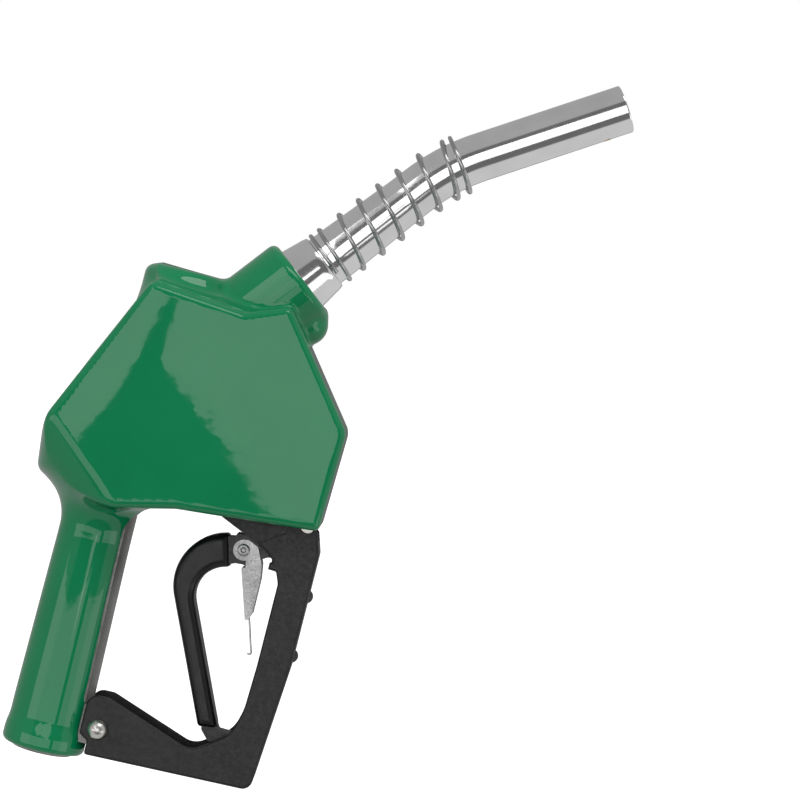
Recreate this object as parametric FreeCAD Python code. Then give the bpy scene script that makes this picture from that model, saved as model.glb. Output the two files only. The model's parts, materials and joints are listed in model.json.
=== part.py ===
"""Automatic shut-off fuel nozzle: casting, vinyl cover, spout with anchor spring, lever, guard and valves.

Frame: millimetres. The origin is the centre of the hose inlet's mouth. +Z runs up the handle's axis, +X points
to the side of the lever and spout, and the XZ plane is the plane of symmetry.
"""

import FreeCAD, Part
import math
import os

Vec = FreeCAD.Vector
os.makedirs("parts", exist_ok=True)

# ---------------------------------------------------------------- driving dimensions
INLET_R = 12.4            # pitch radius of the 3/4 in pipe thread
INLET_DEPTH = 17.0
HANDLE_BORE_R = 10.5
COVER_WALL = 2.0          # vinyl thickness
COVER_HALF = 33.0         # half the cover's width over its flat sides
COVER_EDGE_R = 3.0        # rounding between the flat sides and the rim
CASTING_GAP = 0.3         # between the vinyl and the metal
CASTING_HALF = 15.0       # half the casting's thickness between its bosses
SLOT_HALF = 9.6           # half the slot along the grip through which the metal shows

SPOUT_KNEE = Vec(111.4, 0, 291.2)   # where the spout's two straight axes cross
BASE_ANGLE = 51.45        # of the spout's first stretch above +X, in degrees
TIP_ANGLE = 32.36         # of its last stretch
BEND_R = 90.0
TUBE_BASE_R = 11.7        # swaged root of the tube
TUBE_R = 10.6             # the tube's outside at the tip, 21.2 mm across
TUBE_WALL = 1.2
TIP_REACH = 82.9          # from the knee to the tip, along the axis
COLLAR_R = 20.0           # vinyl collar around the spout's root
COLLAR_AT = 80.1          # collar's end face, back from the knee
BUSHING_R = 15.1
BUSHING_END = 67.8        # bushing's end face, back from the knee
BUSHING_BACK = 112.0

FULCRUM = Vec(86, 0, 112)  # lever pin
STEM_FOOT = Vec(66, 0, 112)  # where the valve stem's axis crosses the lever
VALVE_TILT = -12.0        # valve and plunger axes lean from vertical, about +Y
LEVER_HALF = 6.8          # half the lever arm's width
SLEEVE_HALF = 8.6
SLEEVE_WALL = 1.5
GUARD_INNER = 10.6        # half the gap between the guard's flanges
GUARD_HALF = 12.6
BRACKET_INNER = 9.2
BRACKET_OUTER = 10.5
LATCH_RIVET = Vec(65.5, 0, 107)
LATCH_INNER = 7.0         # half the gap between the latch's ears
LATCH_OUTER = 7.9
REAR_SCREW = Vec(22.9, 0, 16.4)
FRONT_BOLT = Vec(90.3, 0, 124.4)
UNDERSIDE_Z = 128.5       # casting's flat underside above the lever

VALVE_BORE_R = 11.2
SPRING_TOP = 62.0         # end of the main spring's pocket, above the lever
CHAMBER_R = 9.8           # vacuum chamber
CAP_R = 13.2
CAP_SCREW_R = 1.0
PIN_R = 2.3               # the latch pin between the three balls
BALL_R = 1.75
BALL_Z = 41.9

CAP_SCREW_CIRCLE_R = 11.6
CAP_SCREWS = [(CAP_SCREW_CIRCLE_R * math.cos(math.radians(a)), CAP_SCREW_CIRCLE_R * math.sin(math.radians(a)))
              for a in (45, 135, 225, 315)]
BEND_TANGENT = BEND_R * math.tan(math.radians((BASE_ANGLE - TIP_ANGLE) / 2))

# Side outlines: (x, z, corner radius).
BLOCK = [(0.2, 211.2, 4), (42, 207.4, 2), (61, 214.8, 3), (97.2, 167.5, 8), (95.6, 123.9, 2), (32, 119.3, 6),
         (12, 127.5, 8), (-21, 127.5, 6), (-30.5, 136.0, 7), (-26, 147, 10)]
SLEEVE = [(57.6, 112.5, 1), (29.5, 104.4, 23), (64.4, 27.3, 1.5), (73.4, 28.0, 1), (44.2, 93.2, 13.4),
          (61.4, 98.4, 1)]
GUARD = [(21.0, 4.2, 2), (93.4, 6.2, 4.5), (97.9, 62, 30), (98.1, 113, 6), (95.3, 121.8, 0), (93.2, 123.4, 0),
         (93.2, 128.2, 0), (82, 128.2, 0), (82, 118.6, 0), (71.0, 111.3, 0), (75.6, 109.0, 1),
         (79.4, 105.4, 0.5), (77.9, 104.7, 0.3), (77.9, 101.7, 0.3), (81.6, 101.5, 1), (83.6, 96.5, 5),
         (83.4, 60, 60), (82.6, 40, 30), (79.5, 27.5, 14), (64, 17.0, 9), (24.5, 30.6, 4), (15.4, 30.4, 5),
         (15.4, 12.8, 2), (19.4, 10.2, 1), (19.4, 4.4, 1)]


# ---------------------------------------------------------------- helpers
def rounded_wire(corners):
    """Closed wire in the XZ plane through (x, z, radius) corners."""
    stretches = []
    for i, (x, z, radius) in enumerate(corners):
        p = Vec(x, 0, z)
        back = (Vec(corners[i - 1][0], 0, corners[i - 1][1]) - p).normalize()
        ahead = corners[(i + 1) % len(corners)]
        on = (Vec(ahead[0], 0, ahead[1]) - p).normalize()
        half = back.getAngle(on) / 2
        if radius <= 0 or half > math.pi / 2 - 0.01:
            stretches.append((p, None, p))
            continue
        reach = radius / math.tan(half)
        inward = (back + on).normalize()
        middle = p + inward * (radius / math.sin(half) - radius)
        stretches.append((p + back * reach, middle, p + on * reach))
    edges = []
    for i, (start, middle, end) in enumerate(stretches):
        if middle is not None:
            edges.append(Part.Arc(start, middle, end).toShape())
        following = stretches[(i + 1) % len(stretches)][0]
        if end.distanceToPoint(following) > 1e-6:
            edges.append(Part.LineSegment(end, following).toShape())
    return Part.Wire(edges)


def slab(corners, y_low, y_high):
    """The outline as a plate from y_low to y_high."""
    face = Part.Face(rounded_wire(corners))
    face.translate(Vec(0, y_low, 0))
    return face.extrude(Vec(0, y_high - y_low, 0))


def inset(corners, d):
    """The outline moved inwards by d on every side, its convex corners losing d of radius."""
    n = len(corners)
    pairs = [(corners[i], corners[(i + 1) % n]) for i in range(n)]
    area = sum(a[0] * b[1] - b[0] * a[1] for a, b in pairs)
    turn = 1 if area > 0 else -1
    lines = []
    for i in range(n):
        (x0, z0, _), (x1, z1, _) = corners[i], corners[(i + 1) % n]
        length = math.hypot(x1 - x0, z1 - z0)
        nx, nz = -(z1 - z0) / length * turn, (x1 - x0) / length * turn
        lines.append((x0 + nx * d, z0 + nz * d, (x1 - x0) / length, (z1 - z0) / length))
    moved = []
    for i in range(n):
        ax, az, aux, auz = lines[i - 1]
        bx, bz, bux, buz = lines[i]
        cross = aux * buz - auz * bux
        if abs(cross) < 1e-6:
            x, z = bx, bz
        else:
            t = ((bx - ax) * buz - (bz - az) * bux) / cross
            x, z = ax + aux * t, az + auz * t
        convex = cross * turn > 0
        radius = corners[i][2]
        if radius > 0:
            radius = max(radius - d, 0.3) if convex else radius + d
        moved.append((x, z, radius))
    return moved


def box(x0, y0, z0, x1, y1, z1):
    return Part.makeBox(x1 - x0, y1 - y0, z1 - z0, Vec(x0, y0, z0))


def rod(radius, z0, z1):
    """Cylinder about the local Z axis."""
    return Part.makeCylinder(radius, z1 - z0, Vec(0, 0, z0))


def ring(outer, inner, z0, z1):
    return rod(outer, z0, z1).cut(rod(inner, z0 - 1, z1 + 1))


def turned(profile):
    """Solid of revolution about Z from a closed (radius, z) outline."""
    points = [Vec(r, 0, z) for r, z in profile]
    return Part.Face(Part.makePolygon(points + points[:1])).revolve(Vec(0, 0, 0), Vec(0, 0, 1), 360)


def cross_rod(centre, radius, y0, y1):
    """Cylinder along Y through a point of the XZ plane."""
    return Part.makeCylinder(radius, y1 - y0, Vec(centre.x, y0, centre.z), Vec(0, 1, 0))


def hexagon(across, z0, z1):
    """Hexagonal prism about the local Z axis."""
    r = across / math.sqrt(3)
    angles = [math.radians(60 * i) for i in range(7)]
    points = [Vec(r * math.cos(a), r * math.sin(a), z0) for a in angles]
    return Part.Face(Part.makePolygon(points)).extrude(Vec(0, 0, z1 - z0))


def placed(shape, origin, tilt):
    """The local frame's shape, tilted about +Y and moved to origin."""
    moved = shape.copy()
    seat = FreeCAD.Placement(origin, FreeCAD.Rotation(Vec(0, 1, 0), tilt))
    moved.Placement = seat.multiply(moved.Placement)
    return moved


def on_spout(shape):
    """Local Z lies on the spout's first axis, with its zero at the knee."""
    return placed(shape, SPOUT_KNEE, 90 - BASE_ANGLE)


def on_stem(shape):
    """Local Z lies on the main valve's axis, with its zero on the lever."""
    return placed(shape, STEM_FOOT, VALVE_TILT)


def on_plunger(shape):
    """Local Z lies on the shut-off plunger's axis, with its zero on the lever pin."""
    return placed(shape, FULCRUM, VALVE_TILT)


def fused(shapes):
    whole = shapes[0]
    for other in shapes[1:]:
        whole = whole.fuse(other)
    return whole.removeSplitter()


def swept(points, wire_r):
    """Round wire along a smooth curve through the points."""
    curve = Part.BSplineCurve()
    curve.interpolate(points)
    path = Part.Wire(curve.toShape())
    start = curve.tangent(curve.FirstParameter)[0]
    profile = Part.Wire(Part.Circle(points[0], start, wire_r).toShape())
    return path.makePipeShell([profile], True, True)


def coil(mean_r, wire_r, z0, z1, turns):
    """Compression spring about the local Z axis, its wire inside z0 to z1."""
    steps = max(8, int(turns * 12))
    rise = z1 - z0 - 2 * wire_r
    points = []
    for i in range(steps + 1):
        angle = 2 * math.pi * turns * i / steps
        z = z0 + wire_r + rise * i / steps
        points.append(Vec(mean_r * math.cos(angle), mean_r * math.sin(angle), z))
    return swept(points, wire_r)


def keep(name, shape):
    """Writes one sub-part, after a check that it is one or more closed solids."""
    solids = shape.Solids
    if not solids or not shape.isValid():
        print("BAD", name, len(solids), shape.isValid())
    body = solids[0] if len(solids) == 1 else Part.makeCompound(solids)
    body.exportStep(f"parts/{name}.step")
    print(f"{name:24s} solids {len(solids)} volume {sum(s.Volume for s in solids) / 1000:8.2f} cm3")


# ---------------------------------------------------------------- cover and casting
GRIP = [(15.2, 1.2), (17.0, 2.0), (18.1, 4.5), (18.2, 7.5), (17.7, 12), (17.3, 22), (16.2, 95), (16.2, 132)]


def grip_solid(d, z0, z1):
    """The grip's turned outside, moved inwards by d."""
    outline = [(r - d, z) for r, z in GRIP]
    outline[0] = (outline[0][0], z0)
    outline[-1] = (outline[-1][0], z1)
    return turned([(0, z0)] + outline + [(0, z1)])


def section(z, x_low, x_high, y_half, radius):
    """Rounded rectangle at height z, made of four lines and four arcs."""
    y = y_half
    c = radius
    d = c * (1 - math.sqrt(0.5))
    edges = [
        Part.LineSegment(Vec(x_low + c, -y, z), Vec(x_high - c, -y, z)).toShape(),
        Part.Arc(Vec(x_high - c, -y, z), Vec(x_high - d, -y + d, z), Vec(x_high, -y + c, z)).toShape(),
        Part.LineSegment(Vec(x_high, -y + c, z), Vec(x_high, y - c, z)).toShape(),
        Part.Arc(Vec(x_high, y - c, z), Vec(x_high - d, y - d, z), Vec(x_high - c, y, z)).toShape(),
        Part.LineSegment(Vec(x_high - c, y, z), Vec(x_low + c, y, z)).toShape(),
        Part.Arc(Vec(x_low + c, y, z), Vec(x_low + d, y - d, z), Vec(x_low, y - c, z)).toShape(),
        Part.LineSegment(Vec(x_low, y - c, z), Vec(x_low, -y + c, z)).toShape(),
        Part.Arc(Vec(x_low, -y + c, z), Vec(x_low + d, -y + d, z), Vec(x_low + c, -y, z)).toShape(),
    ]
    return Part.Wire(edges)


def shoulder(d):
    """The flare from the round grip to the wide body."""
    levels = [(104, -16.2, 16.2, 16.2, 16.0), (111, -17.6, 17.4, 17.8, 17.2),
              (119.5, -29.0, 26.0, 24.5, 20.0),
              (128, -31.0, 32.0, 30.0, 20.0), (140, -30.5, 34.0, 32.0, 20.0)]
    wires = [section(z, low + d, high - d, half - d, radius - d) for z, low, high, half, radius in levels]
    return Part.makeLoft(wires, True, False)


def cover_form(d):
    """Everything inside the cover's surface moved inwards by d."""
    block = slab(inset(BLOCK, d), -COVER_HALF + d, COVER_HALF - d)
    if d == 0:
        rims = [e for e in block.Edges if abs(abs(e.CenterOfMass.y) - COVER_HALF) < 1e-3]
        block = block.makeFillet(COVER_EDGE_R, rims)
    grip = grip_solid(d, 1.2 - (1 if d else 0), 132)
    collar_end = -COLLAR_AT - d
    collar = rod(COLLAR_R - d, -122, collar_end)
    if d == 0:
        collar = collar.makeFillet(3.5, [e for e in collar.Edges if abs(e.CenterOfMass.z - collar_end) < 1e-3
                                         and e.Curve.TypeId == "Part::GeomCircle"])
    crown = Part.makeCylinder(20 - d, 40, Vec(13.5, 0, 219.5 - 40 - d))
    if d == 0:
        crown = crown.makeFillet(5, [e for e in crown.Edges if abs(e.CenterOfMass.z - 219.5) < 1e-3
                                     and e.Curve.TypeId == "Part::GeomCircle"])
    lobe = Part.makeSphere(9 - d, Vec(68.5, 0, 209.5))
    return fused([block, grip, shoulder(d), on_spout(collar), crown, lobe])


def vinyl_cover():
    """One dipped vinyl skin, open under the body, along the grip's inner side and at the spout."""
    shell = cover_form(0).cut(cover_form(COVER_WALL))
    inlet = rod(15.2, -5, 8)
    grip_slot = box(9, -SLOT_HALF, -2, 30, SLOT_HALF, 117)
    lug_gap = box(9, -11.2, 6.5, 30, 11.2, 26.5)
    under = box(26, -24, 105, 93.6, 24, 127)
    spout_hole = on_spout(rod(BUSHING_R + 0.4, -90, -60))
    return shell.cut(fused([inlet, grip_slot, lug_gap, under])).cut(spout_hole)


def casting_outside():
    gap = COVER_WALL + CASTING_GAP
    block = slab(inset(BLOCK, gap + 0.4), -CASTING_HALF, CASTING_HALF)
    grip = grip_solid(gap, 0, 130)
    land = box(8, -SLOT_HALF + 0.3, 20, 20, SLOT_HALF - 0.3, 112).common(grip_solid(0.1, 0, 131))
    neck = on_spout(rod(COLLAR_R - gap, -122, -COLLAR_AT - gap))
    valve_boss = on_stem(rod(14.2, 10, 50))
    cap_boss = on_plunger(rod(13.4, 44, 53.4))
    screw_boss = on_spout(placed(rod(5.0, 10, 20.0), Vec(0, 0, -90), 90))
    lug = slab([(10, 8.5, 0), (24, 8.5, 3), (30.5, 12, 4), (30.5, 21, 6), (20, 25, 2), (10, 25, 0)],
               -SLOT_HALF + 0.3, SLOT_HALF - 0.3)
    lug_pads = cross_rod(REAR_SCREW, 6.5, -10.5, 10.5)
    crown_lug = Part.makeCylinder(17.4, 30, Vec(13.5, 0, 187))
    return fused([block, grip, land, neck, valve_boss, cap_boss, screw_boss, lug, lug_pads, crown_lug])


def body_casting():
    """Cast aluminium body: handle tube, valve bores, passages, spout socket and the guard's rear lug."""
    solid = casting_outside()
    lever_room = box(24, -40, 100, 110, 40, UNDERSIDE_Z)
    inlet = rod(INLET_R, -1, INLET_DEPTH)
    handle_bore = rod(HANDLE_BORE_R, INLET_DEPTH - 1, 136)
    cross_passage = box(-8, -9, 130.5, 60, 9, 137)
    valve_bore = on_stem(rod(VALVE_BORE_R, 5, 43.6))
    valve_face = on_stem(rod(VALVE_BORE_R + 0.6, 5, 16.8))
    spring_pocket = on_stem(rod(5.0, 43, SPRING_TOP))
    outlet = slab([(41, 143, 0), (52.5, 143, 0), (48.6, 166, 0), (44, 206, 0), (33, 199, 0)], -8, 8)
    neck_bore = on_spout(rod(BUSHING_R + 0.05, -BUSHING_BACK - 0.2, -70))
    neck_throat = on_spout(rod(11.0, -122, -110))
    bush_bore = on_plunger(rod(6.8, 5, 25))
    bush_face = on_plunger(rod(7.4, 5, 17))
    plunger_bore = on_plunger(rod(5.9, 24, 40))
    latch_bore = on_plunger(rod(7.0, 37, 50))
    chamber = on_plunger(rod(CHAMBER_R, 49, 54))
    cap_room = on_plunger(rod(13.5, 53.4, 90))
    cap_holes = on_plunger(screw_holes())
    set_screw_hole = on_spout(placed(rod(2.5, 8, 24), Vec(0, 0, -90), 90))
    rear_hole = cross_rod(REAR_SCREW, 3.05, -12, 12)
    bracket_holes = fused([Part.makeCylinder(1.6, 10, Vec(44.5, y, 126)) for y in (-5.5, 5.5)])
    passages = [inlet, handle_bore, cross_passage, outlet, neck_bore, neck_throat]
    valve_room = [lever_room, valve_bore, valve_face, spring_pocket]
    plunger_room = [bush_bore, bush_face, plunger_bore, latch_bore, chamber, cap_room]
    holes = [cap_holes, set_screw_hole, rear_hole, bracket_holes]
    for tool in passages + valve_room + plunger_room + holes:
        solid = solid.cut(tool)
    return solid


def screw_holes():
    """The vacuum cap's four screw holes about the plunger's axis."""
    holes = []
    for x, y in CAP_SCREWS:
        hole = rod(CAP_SCREW_R, 46, 70)
        hole.translate(Vec(x, y, 0))
        holes.append(hole)
    return fused(holes)


# ---------------------------------------------------------------- main valve
def main_valve():
    keep("valve_seat_ring", on_stem(ring(VALVE_BORE_R, 7.5, 29.0, 31.7).fuse(ring(9.0, 7.5, 31.7, 32.5))))
    cap = rod(VALVE_BORE_R, 16.8, 21.5).fuse(hexagon(18.0, 13.6, 16.8))
    cap = cap.cut(rod(2.65, 10, 30)).cut(rod(5.5, 18.5, 25))
    keep("valve_body_cap", on_stem(cap))
    keep("stem_packing", on_stem(ring(5.5, 2.65, 18.5, 20.5)))
    keep("packing_gland", on_stem(ring(5.5, 2.7, 20.5, 21.5)))
    stem = rod(2.6, 3.2, 33.3).fuse(rod(2.0, 33.3, 40.5))
    tip = Part.makeSphere(2.6, Vec(0, 0, 4.3)).common(box(-5, -5, 1.0, 5, 5, 4.3))
    keep("valve_stem", on_stem(fused([stem, tip])))
    keep("main_valve_poppet", on_stem(rod(9.8, 33.3, 35.5).fuse(rod(3.1, 35.5, 38)).cut(rod(2.0, 30, 41))))
    keep("poppet_seal", on_stem(ring(9.5, 6.9, 32.5, 33.3)))
    keep("poppet_nut", on_stem(hexagon(5.4, 38, 39.8).cut(rod(2.0, 37, 41))))
    keep("main_valve_spring", on_stem(coil(4.05, 0.5, 35.6, SPRING_TOP - 0.1, 9)))


# ---------------------------------------------------------------- automatic shut-off
def shutoff():
    bush = rod(6.8, 17, 25).fuse(rod(7.1, 15.2, 16.9)).fuse(rod(6.8, 16.9, 17)).cut(rod(3.95, 10, 30))
    keep("plunger_guide_bush", on_plunger(bush.cut(ring(5.0, 3.5, 20, 21.8))))
    keep("plunger_guide_seal", on_plunger(ring(5.0, 3.95, 20, 21.8)))
    eye = box(-3.9, -4.7, -4.6, 3.9, 4.7, 6.5)
    head = rod(5.0, 36, 46).cut(rod(2.4, 38, 47))
    balls = []
    for angle in (0, 120, 240):
        out = Vec(math.cos(math.radians(angle)), math.sin(math.radians(angle)), 0)
        head = head.cut(Part.makeCylinder(BALL_R + 0.05, 8, Vec(0, 0, BALL_Z), out))
        balls.append(Part.makeSphere(BALL_R, Vec(0, 0, BALL_Z) + out * (PIN_R + BALL_R + 0.02)))
    pin_hole = Part.makeCylinder(2.5, 20, Vec(0, -10, 0), Vec(0, 1, 0))
    plunger = fused([eye, rod(3.9, 6, 36), head]).cut(pin_hole)
    keep("shutoff_plunger", on_plunger(plunger))
    keep("latch_balls", on_plunger(Part.makeCompound(balls)))
    keep("plunger_return_spring", on_plunger(coil(4.75, 0.45, 25.1, 35.9, 3.5)))
    keep("latch_ring", on_plunger(ring(7.0, 5.1, 37, 40.4)))
    keep("shutoff_latch_pin", on_plunger(rod(PIN_R, 40.5, 57)))
    keep("diaphragm", on_plunger(ring(CAP_R - 0.2, PIN_R, 53.4, 54.4).cut(screw_holes())))
    keep("diaphragm_lower_plate", on_plunger(ring(7.4, PIN_R, 52.4, 53.4)))
    keep("diaphragm_upper_plate", on_plunger(ring(7.4, PIN_R, 54.4, 55.4)))
    keep("diaphragm_spring", on_plunger(coil(4.6, 0.35, 55.5, 60.9, 2)))
    cap = rod(CAP_R, 54.4, 62.5)
    top_rim = [e for e in cap.Edges if e.CenterOfMass.z > 62 and e.Curve.TypeId == "Part::GeomCircle"]
    cap = cap.makeFillet(1.0, top_rim)
    keep("vacuum_cap", on_plunger(cap.cut(rod(CHAMBER_R, 54, 61)).cut(screw_holes())))
    screws = []
    for x, y in CAP_SCREWS:
        screw = rod(CAP_SCREW_R, 46.2, 62.5).fuse(rod(1.9, 62.5, 63.9))
        screw.translate(Vec(x, y, 0))
        screws.append(screw)
    keep("vacuum_cap_screws", on_plunger(Part.makeCompound(screws)))
    keep("lever_pin", cross_rod(FULCRUM, 2.5, -8.4, 8.4))
    clips = [cross_rod(FULCRUM, 4.0, y, y + 0.9) for y in (-8.0, 7.1)]
    clips = [clip.cut(cross_rod(FULCRUM, 2.5, -10, 10)) for clip in clips]
    keep("lever_pin_clips", Part.makeCompound(clips))


# ---------------------------------------------------------------- spout
def bent(radius, offset=0.0, start=94.5, short=0.0):
    """Round bar along the spout's axis, moved by offset towards the inside of the bend."""
    base = rod(radius, -start, -BEND_TANGENT)
    base.translate(Vec(offset, 0, 0))
    knee_start = Vec(offset, 0, -BEND_TANGENT)
    disc = Part.Face(Part.Wire(Part.Circle(knee_start, Vec(0, 0, 1), radius).toShape()))
    turn = BASE_ANGLE - TIP_ANGLE
    bend = disc.revolve(Vec(BEND_R, 0, -BEND_TANGENT), Vec(0, 1, 0), turn)
    end = rod(radius, BEND_TANGENT, TIP_REACH - short)
    end.translate(Vec(offset, 0, 0))
    end.rotate(Vec(0, 0, 0), Vec(0, 1, 0), turn)
    return fused([base, bend, end])


def spout():
    root = turned([(0, -94.5), (TUBE_BASE_R, -94.5), (TUBE_BASE_R, -60),
                   (TUBE_R, -24), (TUBE_R, -20), (0, -20)])
    wall = TUBE_WALL
    hollow = turned([(0, -96), (TUBE_BASE_R - wall, -96), (TUBE_BASE_R - wall, -60), (TUBE_R - wall, -24),
                     (TUBE_R - wall, -20), (0, -20)])
    inside = bent(TUBE_R - wall, start=96, short=-2).fuse(hollow)
    tube = fused([bent(TUBE_R), root]).cut(inside)
    turn = BASE_ANGLE - TIP_ANGLE
    vent_hole = placed(rod(2.0, 4, 20), Vec(0, 0, TIP_REACH - 12), 90)
    vent_hole.rotate(Vec(0, 0, 0), Vec(0, 1, 0), turn)
    keep("spout_tube", on_spout(tube.cut(vent_hole)))
    vent = bent(1.9, offset=6.9, start=98, short=9).cut(bent(1.2, offset=6.9, start=99, short=8))
    bush_hole = placed(rod(2.0, 4, 20), Vec(0, 0, TIP_REACH - 12), 90)
    bush_hole.rotate(Vec(0, 0, 0), Vec(0, 1, 0), turn)
    vent = max(vent.cut(bush_hole).Solids, key=lambda s: s.Volume)
    keep("vent_tube", on_spout(vent))
    bush = placed(ring(2.0, 1.1, 4.8, TUBE_R), Vec(0, 0, TIP_REACH - 12), 90)
    bush.rotate(Vec(0, 0, 0), Vec(0, 1, 0), turn)
    keep("vent_tip_bush", on_spout(bush))
    bushing = turned([(0, -BUSHING_BACK), (BUSHING_R, -BUSHING_BACK), (BUSHING_R, -81.0), (13.5, -70.0),
                      (13.1, -68.2), (12.6, -BUSHING_END), (0, -BUSHING_END)])
    for z in (-107.2, -101.2):
        bushing = bushing.cut(ring(BUSHING_R + 1, 13.0, z - 1.2, z + 1.2))
    bushing = bushing.cut(rod(12.6, -113, -96)).cut(rod(10.5, -97, -94)).cut(rod(TUBE_BASE_R, -95, -60))
    bushing = bushing.cut(placed(rod(2.5, 13.2, 20), Vec(0, 0, -90), 90))
    keep("spout_bushing", on_spout(bushing))
    rings = [Part.makeTorus(14.07, 1.07, Vec(0, 0, z)) for z in (-107.2, -101.2)]
    keep("spout_o_rings", on_spout(Part.makeCompound(rings)))
    set_screw = rod(2.5, 13.3, 18.6).cut(hexagon(2.5, 16.5, 20))
    keep("spout_set_screw", on_spout(placed(set_screw, Vec(0, 0, -90), 90)))
    keep("check_valve_seat", on_spout(ring(12.6, 7.6, -BUSHING_BACK, -108.2)))
    poppet = rod(9.4, -108.2, -105.8).fuse(rod(1.8, -105.8, -94))
    keep("check_valve_poppet", on_spout(poppet.cut(ring(9.0, 7.9, -109, -107.4))))
    keep("check_valve_seal", on_spout(ring(9.0, 7.9, -108.2, -107.4)))
    spider = ring(12.6, 10.8, -98.6, -96.2).fuse(ring(3.2, 1.85, -98.6, -96.2))
    for angle in (0, 120, 240):
        spoke = box(2.6, -0.9, -98.6, 11.4, 0.9, -96.2)
        spoke.rotate(Vec(0, 0, 0), Vec(0, 0, 1), angle)
        spider = spider.fuse(spoke)
    vent_boss = rod(2.9, -98.6, -96.2)
    vent_hole = rod(1.9, -100, -90)
    for shape in (vent_boss, vent_hole):
        shape.translate(Vec(6.9, 0, 0))
    spider = spider.fuse(vent_boss).cut(vent_hole).cut(rod(1.85, -100, -90))
    keep("check_valve_guide", on_spout(spider.removeSplitter()))
    keep("check_valve_spring", on_spout(coil(2.9, 0.4, -105.7, -98.7, 2.5)))
    keep("anchor_spring", anchor_spring())


def spout_point(along, radius, angle):
    """Point beside the spout's centreline. along is measured from the knee, negative towards the bushing."""
    if along <= -BEND_TANGENT:
        turn, centre = 0.0, Vec(0, 0, along)
    else:
        swing = min((along + BEND_TANGENT) / BEND_R, math.radians(BASE_ANGLE - TIP_ANGLE))
        turn = swing
        centre = Vec(BEND_R * (1 - math.cos(swing)), 0, -BEND_TANGENT + BEND_R * math.sin(swing))
    # Angle zero lies on the outside of the bend, and a quarter turn on is the +Y side.
    out = Vec(-math.cos(turn), 0, math.sin(turn))
    return centre + out * (radius * math.cos(angle)) + Vec(0, 1, 0) * (radius * math.sin(angle))


def anchor_spring():
    """Left-hand wire coil round the spout, close wound at both ends."""
    mean_r, wire_r, steps = 12.75, 0.9, 14
    turns_at = [(-0.35, -66.6), (0, -65.9), (1, -61.4), (2, -50.3), (7, 2.9), (8, 6.2), (8.35, 7.4)]
    points = []
    count = int(round((turns_at[-1][0] - turns_at[0][0]) * steps))
    for i in range(count + 1):
        turn = turns_at[0][0] + (turns_at[-1][0] - turns_at[0][0]) * i / count
        for (t0, s0), (t1, s1) in zip(turns_at, turns_at[1:]):
            if t0 <= turn <= t1 + 1e-9:
                along = s0 + (s1 - s0) * (turn - t0) / (t1 - t0)
                break
        points.append(spout_point(along, mean_r, 2 * math.pi * turn))
    return on_spout(swept(points, wire_r))


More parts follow.
